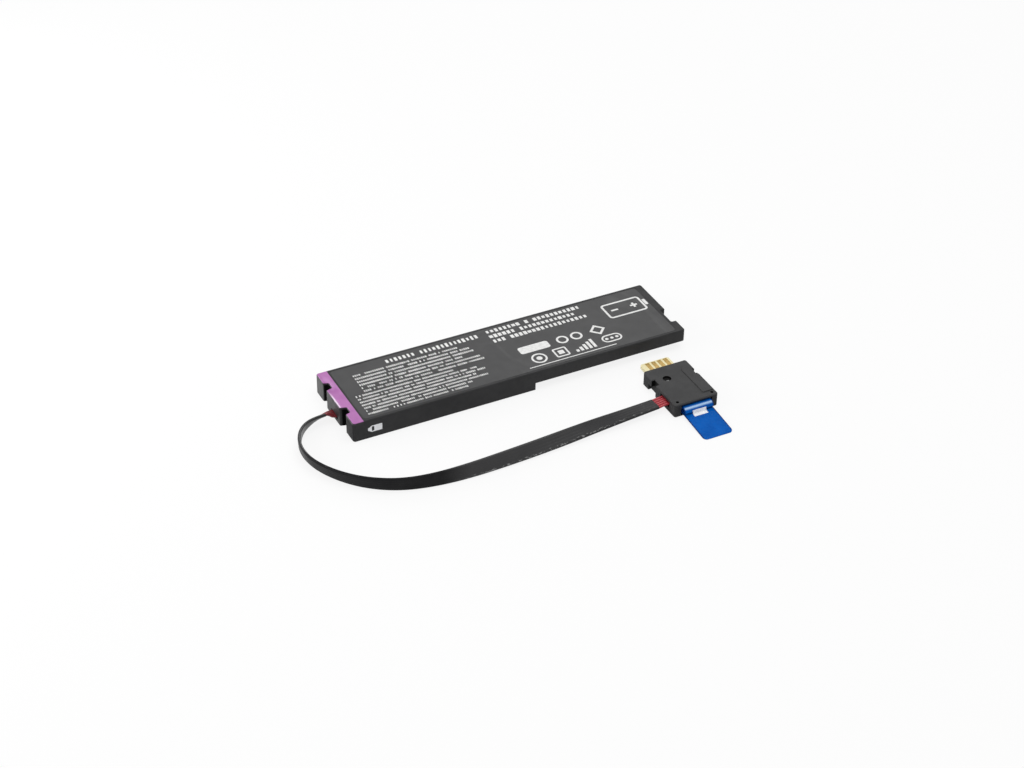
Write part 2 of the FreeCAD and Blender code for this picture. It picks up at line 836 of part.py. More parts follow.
pieces = {
    "lower_case": lower_case,
    "top_cover": top_cover,
    "end_strip": end_strip,
    "top_label": lambda: label_plate(0.0),
    "lower_cell": lower_cell,
    "upper_cell": upper_cell,
    "far_cell": far_cell,
    "lower_cell_pad": lambda: cell_pad(stack_left, floor_top, pad_thickness),
    "cell_tape": lambda: cell_pad(stack_left, upper_cell_z - tape_thickness, tape_thickness),
    "far_cell_pad": lambda: cell_pad(far_cell_left, far_cell_z - pad_thickness, pad_thickness),
    "far_leads": far_leads,
    "control_board": control_board,
    "power_switches": power_switches,
    "gauge_chip": gauge_chip,
    "cell_fuse": cell_fuse,
    "sense_resistor": sense_resistor,
    "filter_capacitors": filter_capacitors,
    "pack_wires": pack_wires,
    "cable_jacket": cable_jacket,
    "plug_wires": plug_wires,
    "plug_upper_shell": plug_upper_shell,
    "plug_lower_shell": plug_lower_shell,
    "plug_card": plug_card,
    "edge_contacts": edge_contacts,
    "tab_bar": tab_bar,
    "pull_tab": pull_tab,
    "loop_tape": loop_tape,
}

for name, make in pieces.items():
    shape = make()
    shape.exportStep("parts/" + name + ".step")
    box = shape.BoundBox
    print("%-18s solids %d valid %s volume %.1f z %.2f to %.2f" % (
        name, len(shape.Solids), shape.isValid(), shape.Volume, box.ZMin, box.ZMax))
print("pack %.2f x %.2f x %.2f, step at x %.2f" % (pack_length, 2 * half_width, pack_height, step_x))
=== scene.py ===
import json
import math
import bmesh
import bpy
from mathutils import Matrix, Vector


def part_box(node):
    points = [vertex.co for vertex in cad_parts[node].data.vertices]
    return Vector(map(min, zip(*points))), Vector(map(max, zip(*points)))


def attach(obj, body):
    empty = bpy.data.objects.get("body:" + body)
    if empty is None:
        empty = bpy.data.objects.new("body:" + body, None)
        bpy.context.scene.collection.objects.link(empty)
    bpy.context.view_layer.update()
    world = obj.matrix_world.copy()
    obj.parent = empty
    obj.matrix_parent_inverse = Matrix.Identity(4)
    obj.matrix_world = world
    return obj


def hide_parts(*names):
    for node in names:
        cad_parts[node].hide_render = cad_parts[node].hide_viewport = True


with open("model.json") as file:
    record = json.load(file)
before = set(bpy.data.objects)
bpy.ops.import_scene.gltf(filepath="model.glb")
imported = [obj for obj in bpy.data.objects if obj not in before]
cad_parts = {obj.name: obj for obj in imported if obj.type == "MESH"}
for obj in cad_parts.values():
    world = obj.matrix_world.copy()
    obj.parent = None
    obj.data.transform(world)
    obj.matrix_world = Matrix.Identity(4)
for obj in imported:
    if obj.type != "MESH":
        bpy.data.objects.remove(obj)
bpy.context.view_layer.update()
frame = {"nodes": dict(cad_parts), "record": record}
cadNodes = frame["nodes"]
scene = bpy.context.scene
mm = 0.001                  # the frame is in metres
body = "root"
print("frame loaded with", len(cadNodes), "nodes")

# Camera at the photograph's angle
photoCamera = {
    "azimuth": -27.4556,            # degrees about +Z
    "elevation": 36.019,
    "roll": 0.95492,
    "distance": 993.864 * mm,
    "slide": (4.2377 * mm, -6.5557 * mm),
    "focalPixels": 2200.0,
    "frameWidth": 1024.0,
    "sensorWidth": 36.0,
}


def addCamera(view):
    azimuth, elevation, roll = (math.radians(view[key]) for key in ("azimuth", "elevation", "roll"))
    level = math.cos(elevation)
    back = Vector((math.sin(azimuth) * level, -math.cos(azimuth) * level, math.sin(elevation)))
    right = Vector((math.cos(azimuth), math.sin(azimuth), 0.0))
    up = back.cross(right)
    across = math.cos(roll) * right + math.sin(roll) * up
    upright = math.cos(roll) * up - math.sin(roll) * right
    lens = bpy.data.cameras.new("photoCamera")
    lens.sensor_width = view["sensorWidth"]
    lens.lens = view["focalPixels"] / view["frameWidth"] * view["sensorWidth"]
    camera = bpy.data.objects.new("photoCamera", lens)
    place = Matrix((across, upright, back)).transposed().to_4x4()
    place.translation = view["slide"][0] * across + view["slide"][1] * upright + view["distance"] * back
    camera.matrix_world = place
    scene.collection.objects.link(camera)
    scene.camera = camera


addCamera(photoCamera)
print("camera set")


# Small helpers for finishes: every pattern reads Object coordinates or the piece's own UV map
def newFinish(name, color, roughness, metallic=0.0, specular=0.5):
    finish = bpy.data.materials.new(name)
    finish.use_nodes = True
    shader = finish.node_tree.nodes["Principled BSDF"]
    shader.inputs["Base Color"].default_value = (*color, 1.0)
    shader.inputs["Roughness"].default_value = roughness
    shader.inputs["Metallic"].default_value = metallic
    shader.inputs["Specular IOR Level"].default_value = specular
    return finish


def shaderOf(finish):
    return finish.node_tree.nodes["Principled BSDF"]


def join(finish, source, target):
    finish.node_tree.links.new(source, target)


def coordinates(finish, stretch, uvMap):
    tree = finish.node_tree
    if uvMap:
        source = tree.nodes.new("ShaderNodeUVMap")
        source.uv_map = uvMap
        output = source.outputs["UV"]
    else:
        output = tree.nodes.new("ShaderNodeTexCoord").outputs["Object"]
    mapping = tree.nodes.new("ShaderNodeMapping")
    mapping.inputs["Scale"].default_value = stretch
    join(finish, output, mapping.inputs["Vector"])
    return mapping.outputs["Vector"]


# One coordinate of a place on the piece, or on its UV map
def axis(finish, name, uvMap=None):
    nodes = finish.node_tree.nodes
    label = uvMap or "objectPlace"
    if label not in nodes:
        node = nodes.new("ShaderNodeSeparateXYZ")
        node.name = label
        join(finish, coordinates(finish, (1.0, 1.0, 1.0), uvMap), node.inputs["Vector"])
    return nodes[label].outputs[name]


def noise(finish, size, detail=3.0, stretch=(1.0, 1.0, 1.0), uvMap=None, twist=0.0):
    node = finish.node_tree.nodes.new("ShaderNodeTexNoise")
    node.inputs["Scale"].default_value = 1.0 / size
    node.inputs["Detail"].default_value = detail
    node.inputs["Distortion"].default_value = twist
    join(finish, coordinates(finish, stretch, uvMap), node.inputs["Vector"])
    return node.outputs["Fac"]


def spread(finish, value, low, high, start=0.35, stop=0.65):
    node = finish.node_tree.nodes.new("ShaderNodeMapRange")
    node.inputs["From Min"].default_value = start
    node.inputs["From Max"].default_value = stop
    node.inputs["To Min"].default_value = low
    node.inputs["To Max"].default_value = high
    join(finish, value, node.inputs["Value"])
    return node.outputs["Result"]


def mixColor(finish, share, first, second):
    node = finish.node_tree.nodes.new("ShaderNodeMix")
    node.data_type = "RGBA"
    join(finish, share, node.inputs[0])
    for socket, color in ((node.inputs[6], first), (node.inputs[7], second)):
        if isinstance(color, tuple):
            socket.default_value = (*color, 1.0)
        else:
            join(finish, color, socket)
    return node.outputs[2]


def mixValue(finish, share, first, second):
    node = finish.node_tree.nodes.new("ShaderNodeMix")
    join(finish, share, node.inputs[0])
    for socket, value in ((node.inputs[2], first), (node.inputs[3], second)):
        if isinstance(value, float):
            socket.default_value = value
        else:
            join(finish, value, socket)
    return node.outputs[0]


def combine(finish, operation, *values):
    result = values[0]
    for value in values[1:]:
        node = finish.node_tree.nodes.new("ShaderNodeMath")
        node.operation = operation
        join(finish, result, node.inputs[0])
        join(finish, value, node.inputs[1])
        result = node.outputs["Value"]
    return result


# 1 between two places on an axis of the piece, 0 beyond them, with a soft edge
def between(finish, name, low, high, soft, uvMap=None):
    place = axis(finish, name, uvMap)
    rise = spread(finish, place, 0.0, 1.0, low - soft / 2, low + soft / 2)
    fall = spread(finish, place, 1.0, 0.0, high - soft / 2, high + soft / 2)
    return combine(finish, "MULTIPLY", rise, fall)


# The same on two axes at once, with each range as the settings give it
def inPatch(finish, settings, names, uvMap=None):
    return combine(finish, "MULTIPLY", *[between(finish, name, *settings[name], uvMap) for name in names])


# The same in a box given in mm
def inBox(finish, box, soft):
    sides = [between(finish, name, low * mm, high * mm, soft) for name, (low, high) in zip("XYZ", box)]
    return combine(finish, "MULTIPLY", *sides)


def tintOf(finish):
    return shaderOf(finish).inputs["Base Color"].links[0].from_socket


def paint(finish, color):
    join(finish, color, shaderOf(finish).inputs["Base Color"])


def polish(finish, roughness):
    join(finish, roughness, shaderOf(finish).inputs["Roughness"])


def shine(finish, level):
    join(finish, level, shaderOf(finish).inputs["Specular IOR Level"])


def relief(finish, *layers):
    normal = None
    for height, strength, depth in layers:
        bump = finish.node_tree.nodes.new("ShaderNodeBump")
        bump.inputs["Strength"].default_value = strength
        bump.inputs["Distance"].default_value = depth
        join(finish, height, bump.inputs["Height"])
        if normal:
            join(finish, normal, bump.inputs["Normal"])
        normal = bump.outputs["Normal"]
    join(finish, normal, shaderOf(finish).inputs["Normal"])


# Finishes of the moulded case, strip and plug
def mouldedPlastic(name, dark, light, rough, specular, grain=0.16 * mm, depth=0.02 * mm):
    finish = newFinish(name, light, rough[0], specular=specular)
    paint(finish, mixColor(finish, spread(finish, noise(finish, 14 * mm), 0.0, 1.0), dark, light))
    polish(finish, spread(finish, noise(finish, 3 * mm, 4.0), *rough))
    fine = noise(finish, grain, 2.0)
    coarse = noise(finish, 2.2 * mm, 2.0)
    relief(finish, (fine, 0.35, depth), (coarse, 0.12, 0.04 * mm))
    return finish


# Case: the lobes of the cable end are glossier towards the back, and the slots between them are dull and
# carry a painted shade, near-black
def caseMoulding(name, dark, light, end, slots):
    finish = mouldedPlastic(name, dark, light, (0.46, 0.58), end["specular"])
    gloss = spread(finish, axis(finish, "Y"), *end["gloss"], *end["Y"])
    lobes = mixValue(finish, between(finish, "X", *end["X"]), end["specular"], gloss)
    # painted shade: the slots between the end lobes painted near-black
    shade = inPatch(finish, slots, "XY")
    paint(finish, mixColor(finish, shade, tintOf(finish), slots["color"]))
    shine(finish, mixValue(finish, shade, lobes, slots["specular"]))
    return finish


# Plug: painted shade makes its sides darker than its top and its hollows near-black, and a painted highlight
# lights the stake's end
def plugMoulding(name, dark, light, shadeAndGlint):
    finish = mouldedPlastic(name, dark, light, (0.55, 0.68), 0.1, 0.14 * mm, 0.025 * mm)
    shade = combine(finish, "MAXIMUM", *[inBox(finish, box, shadeAndGlint["soft"]) for box in shadeAndGlint["boxes"]])
    # painted shade: the sides darker than the top
    top = spread(finish, axis(finish, "Z"), 0.0, 1.0, *shadeAndGlint["top"])
    sides = mixColor(finish, top, shadeAndGlint["sides"], tintOf(finish))
    shaded = mixColor(finish, shade, sides, shadeAndGlint["color"])
    # painted highlight: a grey glint on the stake's end
    glint = inBox(finish, shadeAndGlint["glint"], shadeAndGlint["glintSoft"])
    paint(finish, mixColor(finish, glint, shaded, shadeAndGlint["glintColor"]))
    return finish


# Touch strip: colour on its top face only, with paler rubbed patches, a painted highlight on the middle
# lobe's outer edge, and painted shade making its sides near-black below
def stripMoulding(name, dark, light, below):
    finish = mouldedPlastic(name, dark, light, (0.30, 0.44), 0.3)
    patches = spread(finish, noise(finish, 6 * mm, 2.0, (1.0, 0.5, 1.0)), 0.0, 0.5, 0.5, 0.7)
    rubbed = mixColor(finish, patches, tintOf(finish), below["rubbed"])
    # painted highlight: a pale line along the middle lobe's outer edge
    rubbed = mixColor(finish, inPatch(finish, below["glint"], "XY"), rubbed, below["glint"]["color"])
    # painted shade: the strip's sides near-black below its top face
    top = spread(finish, axis(finish, "Z"), 0.0, 1.0, below["low"], below["high"])
    paint(finish, mixColor(finish, top, below["color"], rubbed))
    return finish


def labelFilm(name, creases):
    finish = newFinish(name, (0.028, 0.028, 0.029), 0.4, specular=0.3)
    cloud = spread(finish, noise(finish, 30 * mm, 1.0), 0.0, 1.0)
    film = mixColor(finish, cloud, (0.025, 0.025, 0.026), (0.030, 0.030, 0.031))
    polish(finish, spread(finish, noise(finish, 5 * mm, 4.0), 0.37, 0.43))
    ripple = noise(finish, 9 * mm, 2.0, (1.0, 0.55, 1.0), twist=0.6)
    folds = spread(finish, noise(finish, 11 * mm, 1.0, (1.0, 0.35, 1.0), twist=1.2), 0.0, 1.0, 0.48, 0.66)
    near = combine(finish, "MAXIMUM", *[between(finish, "X", *place) for place in creases])
    creaseAndHighlight = combine(finish, "MULTIPLY", folds, near)
    # painted highlight: the creases painted lighter, as where they catch the light; the same creases are also
    # bumped
    paint(finish, mixColor(finish, creaseAndHighlight, film, (0.046, 0.046, 0.047)))
    grain = noise(finish, 0.22 * mm, 2.0)
    relief(finish, (ripple, 0.02, 0.10 * mm), (creaseAndHighlight, 0.3, 0.2 * mm), (grain, 0.18, 0.01 * mm))
    return finish


def printInk(name):
    finish = newFinish(name, (0.84, 0.84, 0.83), 0.5)
    worn = spread(finish, noise(finish, 1.4 * mm, 3.0), 0.0, 1.0)
    paint(finish, mixColor(finish, worn, (0.74, 0.74, 0.73), (0.88, 0.88, 0.87)))
    relief(finish, (noise(finish, 0.3 * mm, 2.0), 0.2, 0.01 * mm))
    return finish


# Finishes of what the closed case holds
def pouchFoil(name):
    finish = newFinish(name, (0.72, 0.73, 0.75), 0.32, 1.0)
    polish(finish, spread(finish, noise(finish, 6 * mm, 4.0), 0.24, 0.42))
    relief(finish, (noise(finish, 4 * mm, 3.0, twist=0.8), 0.25, 0.12 * mm))
    return finish


def adhesivePad(name):
    finish = newFinish(name, (0.85, 0.85, 0.82), 0.9)
    paint(finish, mixColor(finish, noise(finish, 1.5 * mm), (0.80, 0.80, 0.76), (0.88, 0.88, 0.85)))
    relief(finish, (noise(finish, 0.4 * mm), 0.5, 0.08 * mm))
    return finish


def drawnMetal(name, color, rough, grainAlong):
    finish = newFinish(name, color, rough[0], 1.0)
    lines = noise(finish, 0.25 * mm, 2.0, grainAlong)
    polish(finish, spread(finish, lines, *rough))
    relief(finish, (lines, 0.15, 0.01 * mm))
    return finish


def coatedBoard(name):
    finish = newFinish(name, (0.03, 0.20, 0.09), 0.35)
    paint(finish, mixColor(finish, noise(finish, 2 * mm), (0.025, 0.17, 0.075), (0.035, 0.23, 0.10)))
    weave = noise(finish, 0.5 * mm, 1.0, (1.0, 3.0, 1.0))
    relief(finish, (weave, 0.2, 0.02 * mm))
    return finish


def firedCeramic(name):
    finish = newFinish(name, (0.45, 0.34, 0.22), 0.55)
    paint(finish, mixColor(finish, noise(finish, 0.8 * mm), (0.40, 0.30, 0.19), (0.50, 0.38, 0.25)))
    relief(finish, (noise(finish, 0.12 * mm), 0.3, 0.01 * mm))
    return finish


# Finishes of the cable and of the plug's small pieces
def wireInsulation(name, shaded):
    finish = newFinish(name, (0.44, 0.036, 0.05), 0.36)
    red = mixColor(finish, noise(finish, 1.8 * mm), (0.38, 0.028, 0.04), (0.50, 0.045, 0.06))
    # painted shade on the wires near the pack
    clear = spread(finish, axis(finish, "X"), 0.0, 1.0, *shaded["X"])
    paint(finish, mixColor(finish, clear, shaded["color"], red))
    polish(finish, spread(finish, noise(finish, 0.9 * mm), 0.30, 0.48))
    relief(finish, (noise(finish, 0.2 * mm), 0.15, 0.015 * mm))
    return finish


def jacketSkin(name, uvMap, flecks, sheen):
    finish = newFinish(name, (0.014, 0.014, 0.015), 0.42, specular=0.3)
    streaks = noise(finish, 0.8 * mm, 3.0, (0.06, 1.0, 1.0), uvMap)
    rubbed = noise(finish, 7 * mm, 3.0, uvMap=uvMap)
    black = mixColor(finish, spread(finish, rubbed, 0.0, 1.0), (0.011, 0.011, 0.012), (0.017, 0.017, 0.018))
    flakes = noise(finish, 0.8 * mm, 2.0, (0.45, 1.3, 1.0), uvMap)
    chips = spread(finish, flakes, 0.0, 1.0, flecks["start"], flecks["full"])
    worn = combine(finish, "MULTIPLY", chips, inPatch(finish, flecks, "XY", uvMap))
    paint(finish, mixColor(finish, worn, black, flecks["color"]))
    polish(finish, spread(finish, rubbed, 0.36, 0.50))
    level, steps = sheen["first"], []
    for start, stop, rise in sheen["steps"]:
        steps.append(spread(finish, axis(finish, "X", uvMap), level, level + rise, start * mm, stop * mm))
        level = 0.0
    bright = inPatch(finish, sheen["inner"], "XY", uvMap)
    shine(finish, mixValue(finish, bright, combine(finish, "ADD", *steps), sheen["inner"]["specular"]))
    relief(finish, (streaks, 0.12, 0.03 * mm), (noise(finish, 0.15 * mm, 2.0), 0.2, 0.01 * mm))
    return finish


def contactPlate(name):
    finish = newFinish(name, (0.40, 0.28, 0.10), 0.30, 1.0)
    paint(finish, mixColor(finish, noise(finish, 0.9 * mm), (0.25, 0.165, 0.052), (0.36, 0.25, 0.09)))
    polish(finish, spread(finish, noise(finish, 0.4 * mm, 3.0, (4.0, 0.4, 1.0)), 0.22, 0.42))
    return finish


def bareLaminate(name):
    finish = newFinish(name, (0.93, 0.85, 0.56), 0.5)
    paint(finish, mixColor(finish, noise(finish, 1.2 * mm), (0.95, 0.84, 0.48), (0.98, 0.91, 0.58)))
    relief(finish, (noise(finish, 0.35 * mm, 1.0, (1.0, 3.0, 1.0)), 0.2, 0.02 * mm))
    return finish


def tabFilm(name, foldHighlight, edges):
    finish = newFinish(name, (0.001, 0.09, 0.42), 0.24, specular=foldHighlight["specular"])
    cloud = spread(finish, noise(finish, 6 * mm, 2.0), 0.0, 1.0)
    film = mixColor(finish, cloud, (0.0005, 0.094, 0.43), (0.002, 0.118, 0.51))
    inner = between(finish, "X", *edges["X"])
    # painted highlight: pale blue along the crest of the loop's fold
    film = mixColor(finish, inPatch(finish, foldHighlight, "YZ"), film, foldHighlight["color"])
    paint(finish, mixColor(finish, inner, edges["color"], film))
    polish(finish, spread(finish, noise(finish, 2 * mm, 4.0), 0.20, 0.32))
    relief(finish, (noise(finish, 5 * mm, 2.0, twist=0.5), 0.1, 0.08 * mm))
    return finish


def patchFilm(name):
    finish = newFinish(name, (0.90, 0.92, 0.96), 0.45)
    paint(finish, mixColor(finish, noise(finish, 1.6 * mm), (0.93, 0.95, 0.99), (0.98, 0.98, 1.0)))
    relief(finish, (noise(finish, 0.5 * mm), 0.25, 0.03 * mm))
    return finish


jacketMap = "jacketMap"
charcoal = ((0.014, 0.014, 0.015), (0.020, 0.020, 0.021))
violet = ((0.36, 0.105, 0.35), (0.47, 0.165, 0.45))
# places on the pieces, in metres: low and high end, and how soft the edge is
endGloss = {
    "X": (-84.0 * mm, -82.0 * mm, 0.2 * mm),
    "Y": (-18.0 * mm, 17.0 * mm),
    "gloss": (0.05, 1.0),
    "specular": 0.25,
}
# painted shade: where the slots between the end lobes are painted near-black, as they lie in shadow
slotPaintedShade = {
    "X": (-81.8 * mm, -79.2 * mm, 0.4 * mm),
    "Y": (-13.5 * mm, 13.5 * mm, 0.4 * mm),
    "color": (0.004, 0.004, 0.004),
    "specular": 0.02,
}
# where the label's creases lie, in metres: bumped, and painted lighter as a painted highlight
labelCreasesAndHighlights = [(-9.0 * mm, 8.0 * mm, 10.0 * mm), (56.0 * mm, 79.0 * mm, 12.0 * mm)]
wireShade = {           # painted shade: darker at the pack, where the wires lie in shadow, than at the plug
    "X": (-40.0 * mm, 0.0),
    "color": (0.20, 0.014, 0.022),
}
jacketFlecks = {        # along the jacket, and across it from its middle
    "X": (110.0 * mm, 196.0 * mm, 20.0 * mm),
    "Y": (-3.1 * mm, -2.2 * mm, 0.4 * mm),
    "start": 0.54,
    "full": 0.62,
    "color": (0.22, 0.22, 0.22),
}
jacketSheen = {         # from and to along the jacket in mm, and how much glossier it gets there
    "first": 0.40,
    "steps": [(6.0, 36.0, -0.33), (97.0, 110.0, 0.37), (148.0, 168.0, -0.20)],
    "inner": {
        "X": (12.0 * mm, 36.0 * mm, 10.0 * mm),
        "Y": (15.0 * mm, 25.0 * mm, 1.0 * mm),
        "specular": 1.0,
    },
}
# painted shade and a painted highlight on the plug: near-black hollows, darker sides, a grey glint on the
# stake
plugPaintedShadeAndGlint = {
    "boxes": [      # in mm, each painted with shade: left catch, stake's recess, two pin marks, wire mouth, room behind the tab's loop
        ((51.5, 53.1), (-48.9, -44.8), (3.3, 6.5)),
        ((56.4, 60.4), (-48.4, -44.4), (5.9, 6.65)),
        ((52.75, 54.45), (-64.65, -62.95), (5.0, 6.65)),
        ((70.35, 72.05), (-64.65, -62.95), (5.0, 6.65)),
        ((51.5, 60.5), (-61.0, -52.8), (2.4, 5.4)),
        ((54.4, 70.4), (-65.7, -61.1), (0.95, 5.95)),
    ],
    "soft": 0.1 * mm,
    "color": (0.003, 0.003, 0.003),
    "top": (6.0 * mm, 6.6 * mm),
    "sides": (0.036, 0.036, 0.037),
    "glint": ((57.6, 59.0), (-47.9, -46.9), (5.7, 6.4)),       # painted highlight on the stake's end, in mm
    "glintSoft": 0.5 * mm,
    "glintColor": (0.26, 0.26, 0.26),
}
# strip: heights below which its sides get painted shade, its rubbed tone, and a painted highlight on the
# middle lobe's outer edge
stripShadeGlintAndWear = {
    "low": 9.80 * mm,
    "high": 9.90 * mm,
    "color": (0.016, 0.014, 0.017),
    "rubbed": (0.66, 0.34, 0.66),
    "glint": {
        "X": (-82.8 * mm, -82.0 * mm, 0.4 * mm),
        "Y": (-6.8 * mm, 2.5 * mm, 5.0 * mm),
        "color": (0.92, 0.74, 0.92),
    },
}
# the crest of the tab's loop, in metres, with its painted highlight colour, and the film's specular level
tabFoldHighlight = {
    "Y": (-67.55 * mm, -66.75 * mm, 0.6 * mm),
    "Z": (4.0 * mm, 6.0 * mm, 0.2 * mm),
    "color": (0.50, 0.72, 1.0),
    "specular": 0.04,
}
tabEdges = {"X": (55.5 * mm, 69.3 * mm, 0.5 * mm), "color": (0.001, 0.035, 0.19)}
plugGrey = ((0.056, 0.056, 0.057), (0.066, 0.066, 0.067))
chipBlack = ((0.018, 0.018, 0.019), (0.026, 0.026, 0.027))
lidBlack = ((0.022, 0.022, 0.023), (0.028, 0.028, 0.029))
finishes = {
    "case_plastic": caseMoulding("caseMoulding", *charcoal, endGloss, slotPaintedShade),
    "strip_plastic": stripMoulding("stripMoulding", *violet, stripShadeGlintAndWear),
    "label_film": labelFilm("labelFilm", labelCreasesAndHighlights),
    "cell_foil": pouchFoil("pouchFoil"),
    "pad_foam": adhesivePad("adhesivePad"),
    "lead_metal": drawnMetal("nickelStrip", (0.70, 0.69, 0.66), (0.25, 0.40), (0.05, 1.0, 1.0)),
    "board_laminate": coatedBoard("coatedBoard"),
    "chip_plastic": mouldedPlastic("chipMoulding", *chipBlack, (0.55, 0.7), 0.4),
    "capacitor_body": firedCeramic("firedCeramic"),
    "wire_red": wireInsulation("wireInsulation", wireShade),
    "jacket_black": jacketSkin("jacketSkin", jacketMap, jacketFlecks, jacketSheen),
    "plug_plastic": plugMoulding("plugMoulding", *plugGrey, plugPaintedShadeAndGlint),
    "card_laminate": bareLaminate("bareLaminate"),
    "contact_gold": contactPlate("contactPlate"),
    "bar_metal": drawnMetal("drawnBar", (0.60, 0.60, 0.60), (0.28, 0.42), (0.05, 1.0, 1.0)),
    "tab_film": tabFilm("tabFilm", tabFoldHighlight, tabEdges),
    "patch_film": patchFilm("patchFilm"),
}
for row in frame["record"]["subparts"]:
    mesh = cadNodes[row["node"]].data
    mesh.materials.clear()
    mesh.materials.append(finishes[row["material_slot"]])
lid = cadNodes["top_cover"].data
lid.materials.clear()
lid.materials.append(mouldedPlastic("lidMoulding", *lidBlack, (0.42, 0.52), 0.16))
print("finishes on every node:", len(finishes))


# Lines read from smooth curves through given points
def smoothLines(name, lines, steps):
    curve = bpy.data.curves.new(name, "CURVE")
    curve.dimensions = "3D"
    curve.resolution_u = steps
    for points in lines:
        spline = curve.splines.new("NURBS")
        spline.points.add(len(points) - 1)
        for knot, point in zip(spline.points, points):
            knot.co = (*point, 1.0)
        spline.order_u = 3
        spline.use_endpoint_u = True
    holder = bpy.data.objects.new(name, curve)
    scene.collection.objects.link(holder)
    graph = bpy.context.evaluated_depsgraph_get()
    wireframe = bpy.data.meshes.new_from_object(holder.evaluated_get(graph))
    bpy.data.objects.remove(holder)
    bpy.data.curves.remove(curve)
    return wireframe


def addPiece(name, mesh, slot):
    piece = bpy.data.objects.new(name, mesh)
    scene.collection.objects.link(piece)
    mesh.materials.clear()
    mesh.materials.append(finishes[slot])
    return piece


def settle(piece, slot, *replaced):
    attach(piece, body)
    if replaced:
        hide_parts(*replaced)


# Flat jacket of the cable: the route's own points, and how far it leans from lying flat at each
jacket = {
    "route": [
        (-0.0885, -0.0010, 0.0034), (-0.0952, -0.0029, 0.0036), (-0.1020, -0.0085, 0.0036),
        (-0.1058, -0.0170, 0.0036), (-0.1060, -0.0265, 0.0036), (-0.1030, -0.0360, 0.0036),
        (-0.0965, -0.0460, 0.0036), (-0.0880, -0.0540, 0.0036), (-0.0770, -0.0600, 0.0036),
        (-0.0635, -0.0630, 0.0036), (-0.0475, -0.0638, 0.0036), (-0.0280, -0.0630, 0.0036),
        (-0.0065, -0.0615, 0.0036), (0.0155, -0.0592, 0.0035), (0.0335, -0.0579, 0.0034),
        (0.0465, -0.0569, 0.0034),
    ],
    "lean": [38, 60, 83, 97, 106, 107, 104, 100, 96, 87, 72, 57, 43, 20, 4, 0],     # degrees
    "width": 6.9 * mm,
    "thickness": 1.5 * mm,
    "edgePower": 9.0,           # how square the rounded edges are
    "innerShift": 20.0 * mm,    # where the inner face lies on the jacket's map
    "wirePitch": 1.35 * mm,
    "ribDepth": 0.05 * mm,
    "acrossSteps": 30,
    "alongSteps": 16,
    "length": 0.204,
    "exit": (-82.8 * mm, -1.0 * mm, 2.7 * mm),
}


def jacketStations(settings):
    path = smoothLines("jacketRoute", [settings["route"]], settings["alongSteps"])
    leanLine = [(angle, 0.0, 0.0) for angle in settings["lean"]]
    leans = smoothLines("jacketLean", [leanLine], settings["alongSteps"])
    points = [vertex.co.copy() for vertex in path.vertices]
    angles = [math.radians(vertex.co.x) for vertex in leans.vertices]
    stations = []
    for i, (point, angle) in enumerate(zip(points, angles)):
        along = (points[min(i + 1, len(points) - 1)] - points[max(i - 1, 0)]).normalized()
        left = Vector((0.0, 0.0, 1.0)).cross(along).normalized()
        up = along.cross(left)
        across = math.cos(angle) * left + math.sin(angle) * up
        stations.append((point, along, across, along.cross(across)))
    return stations


def jacketSection(settings):
    half = settings["width"] / 2
    steps = settings["acrossSteps"]
    power = settings["edgePower"]
    upper = []
    for i in range(steps + 1):
        place = -half * math.cos(math.pi * i / steps)
        fill = 1.0 - abs(place / half) ** power
        valley = 0.5 - 0.5 * math.cos(2 * math.pi * place / settings["wirePitch"])
        high = settings["thickness"] / 2 * math.sqrt(max(fill, 0.0)) - settings["ribDepth"] * valley * fill
        upper.append((place, high))
    return upper + [(place, -high) for place, high in upper[-2:0:-1]]


def makeJacket(settings, stations):
    section = jacketSection(settings)
    count = len(section)
    vertices = [point + a * across + f * face for point, along, across, face in stations for a, f in section]
    faces = []
    for i in range(len(stations) - 1):
        for j in range(count):
            here, beside = i * count + j, i * count + (j + 1) % count
            faces.append((here, beside, beside + count, here + count))
    last = (len(stations) - 1) * count
    faces.append(tuple(range(count))[::-1])
    faces.append(tuple(range(last, last + count)))
    mesh = bpy.data.meshes.new("cableJacket")
    mesh.from_pydata(vertices, [], faces)
    travelled = [0.0]
    for before, after in zip(stations, stations[1:]):
        travelled.append(travelled[-1] + (after[0] - before[0]).length)
    places = mesh.uv_layers.new(name=jacketMap).data
    for loop in mesh.loops:
        i, j = divmod(loop.vertex_index, count)
        shift = settings["innerShift"] if j > count // 2 else 0.0
        places[loop.index].uv = (travelled[i], section[j][0] + shift)
    for polygon in mesh.polygons:
        polygon.use_smooth = len(polygon.vertices) == 4
    work = bmesh.new()
    work.from_mesh(mesh)
    bmesh.ops.recalc_face_normals(work, faces=work.faces)
    for face in work.faces:
        if len(face.verts) > 4:
            for edge in face.edges:
                edge.smooth = False
    work.to_mesh(mesh)
    work.free()
    return addPiece("cableJacket", mesh, "jacket_black"), travelled[-1]


stations = jacketStations(jacket)
cableJacket, jacketLength = makeJacket(jacket, stations)
print("jacket %.1f mm along its middle" % (jacketLength / mm))


# Trees of nodes: built here, run once, and turned into plain meshes
def newTree(name, sockets):
    tree = bpy.data.node_groups.new(name, "GeometryNodeTree")
    tree.interface.new_socket("Geometry", in_out="INPUT", socket_type="NodeSocketGeometry")
    for label, kind in sockets:
        tree.interface.new_socket(label, in_out="INPUT", socket_type="NodeSocket" + kind)
    tree.interface.new_socket("Geometry", in_out="OUTPUT", socket_type="NodeSocketGeometry")
    return tree, tree.nodes.new("NodeGroupInput").outputs, tree.nodes.new("NodeGroupOutput").inputs


def addNode(tree, kind, links=(), **settings):
    node = tree.nodes.new(kind)
    for key, value in settings.items():
        setattr(node, key, value)
    for socket, source in dict(links).items():
        if hasattr(source, "is_output"):
            tree.links.new(source, node.inputs[socket])
        else:
            node.inputs[socket].default_value = source
    return node


